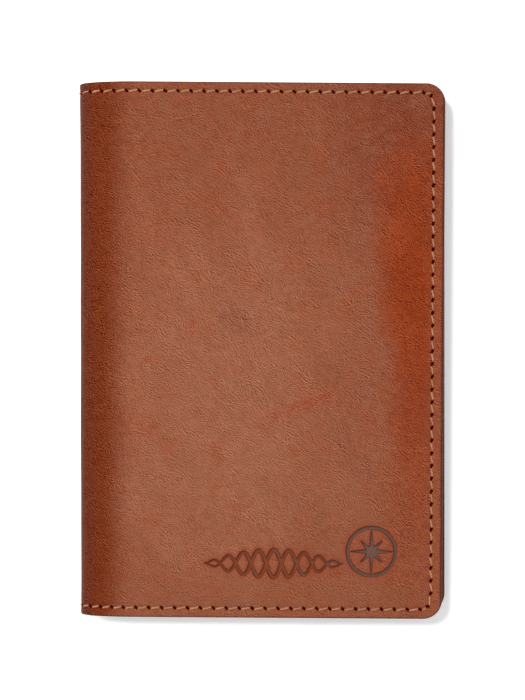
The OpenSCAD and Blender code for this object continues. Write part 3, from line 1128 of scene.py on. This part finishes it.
def make_seam():
    outside, inside, holes = ({bend: [] for bend in FOLDS} for _ in range(3))
    for k, slit in enumerate(slits):
        after = (k + 1) % len(slits)
        first = slit + thread_end[k]
        last = slits[after] - thread_end[after]
        bend = bend_at((first[0] + last[0]) / 2)
        outside[bend].append(stitch_mesh(first, last, (DRAWN_IN, DRAWN_IN), -1))
        depths = inner_depth(slit), inner_depth(slits[after])
        inside[bend].append(stitch_mesh(first, last, depths, 1))
        holes[bend_at(slit[0])].append(slit_disc(slit, slit_way[k], depths[0]))
    for bend in FOLDS:
        nodes = nodes_at(bend, "seam_thread", "thread")
        thread_piece(f"seam_thread_{bend}", outside[bend], THREAD, bend, nodes)
        thread_piece(f"inner_seam_thread_{bend}", inside[bend], THREAD, bend)
        # lenses of painted shade where the slits show on the inner faces
        thread_piece(f"inner_slit_shade_{bend}", holes[bend], SLIT_SHADE_MATERIAL, bend)


def make_pocket_seam():
    """Stitches down the spine side of the card pockets."""
    parts, discs = [], []
    a = first_a(POCKET_NODES[0]) + POCKET_SEAM_IN
    upper, lower = (high(node).y for node in POCKET_NODES)
    way = turned_by(np.array([(1, 0)]), -END_LEAN)[0]
    runs = ((lower + 0.5, upper - MOUTH_CLEAR), (HEM_W - HALF_H, lower - MOUTH_CLEAR))
    for depth, (first_v, last_v) in zip(POCKET_D1, runs):
        count = round((last_v - first_v) / POCKET_STITCH)
        holes = np.linspace((a, first_v), (a, last_v), count + 1)
        for start, end in zip(holes[:-1], holes[1:]):
            parts.append(stitch_mesh(start + 0.25 * way, end - 0.25 * way, (depth, depth), 1))
        discs += [slit_disc(hole, way, depth) for hole in holes]
    thread_piece("pocket_thread", parts, THREAD, None, ("card_pocket_thread",))
    # lenses of painted shade where the pocket seam's slits show
    thread_piece("pocket_slit_shade", discs, SLIT_SHADE_MATERIAL)


# ---- Floor, light and camera, in metres ----

CAMERA_H = 0.5  # above the front of the closed holder
CAMERA_X, CAMERA_Y = 0.0003, -0.00025  # the holder isn't quite in the middle of the picture
VIEW_H = 0.1827  # what the picture's height covers, at the front of the holder
SENSOR = 36.0  # in millimetres
FLOOR_Z = -0.00003  # just under the holder
ROOM_SIDES, ROOM_TOP = 1.0, 0.2  # how bright the room is at its sides and its ceiling
# Name, place, diameter, power in watts, and whether the wax reflects it
LAMPS = (
    ("overhead", (-0.25, 0.22, 1.05), 0.15, 7.6, False),
    ("raking", (-0.62, 0.55, 0.62), 0.35, 5.7, False),
    ("sheen", (-0.056, -0.066, 1.05), 0.3, 1.2, True),
)


def make_floor():
    """White paper, which is kept bright far from the lamps."""
    bpy.ops.mesh.primitive_plane_add(size=6.0, location=(0, 0, FLOOR_Z))
    floor = bpy.context.object
    floor.name = "floor"
    paint = Paint("floor_white", Base_Color=(0.9, 0.9, 0.9, 1), Roughness=0.9)
    where = paint.node("TexCoord").outputs["Object"]
    away = paint.node("VectorMath", {0: where}, operation="LENGTH").outputs["Value"]
    paint.use(Emission_Color=(1, 1, 1, 1),
              Emission_Strength=paint.step(away, 0.3, 1.2, 0.31, 0.75))
    floor.data.materials.append(paint.material)


def make_world():
    """A bright room with a darker ceiling, so that the leather isn't veiled by reflections."""
    world = bpy.data.worlds.new("studio")
    world.use_nodes = True
    room = Nodes(world.node_tree)
    background = room.tree.nodes["Background"]
    _, _, up = room.parts(room.node("TexCoord").outputs["Generated"])
    bright = room.step(up, 0.3, 0.8, ROOM_SIDES, ROOM_TOP)
    room.feed(background.inputs["Color"], (1, 1, 1, 1))
    room.feed(background.inputs["Strength"], bright)
    bpy.context.scene.world = world


def make_lamp(name, location, size, energy, glossy):
    """A soft round lamp that faces the holder."""
    lamp = bpy.data.lights.new(name, "AREA")
    lamp.shape = "DISK"
    lamp.size = size
    lamp.energy = energy
    thing = new_object(name, lamp)
    thing.location = location
    thing.rotation_euler = (-thing.location).to_track_quat("-Z", "Y").to_euler()
    thing.visible_glossy = glossy


def make_camera():
    data = bpy.data.cameras.new("camera")
    data.sensor_width = SENSOR
    data.lens = SENSOR * CAMERA_H / VIEW_H
    data.clip_start = 0.01
    camera = new_object("camera", data)
    camera.location = (CAMERA_X, CAMERA_Y, CAMERA_H + CLOSED_T * MM)
    bpy.context.scene.camera = camera


make_camera()
make_floor()
make_world()
for lamp in LAMPS:
    make_lamp(*lamp)
make_cover()
make_sleeve(-1)
make_sleeve(1)
make_pocket(0)
make_pocket(1)
make_seam()
make_pocket_seam()
bpy.context.scene.view_settings.view_transform = "Standard"
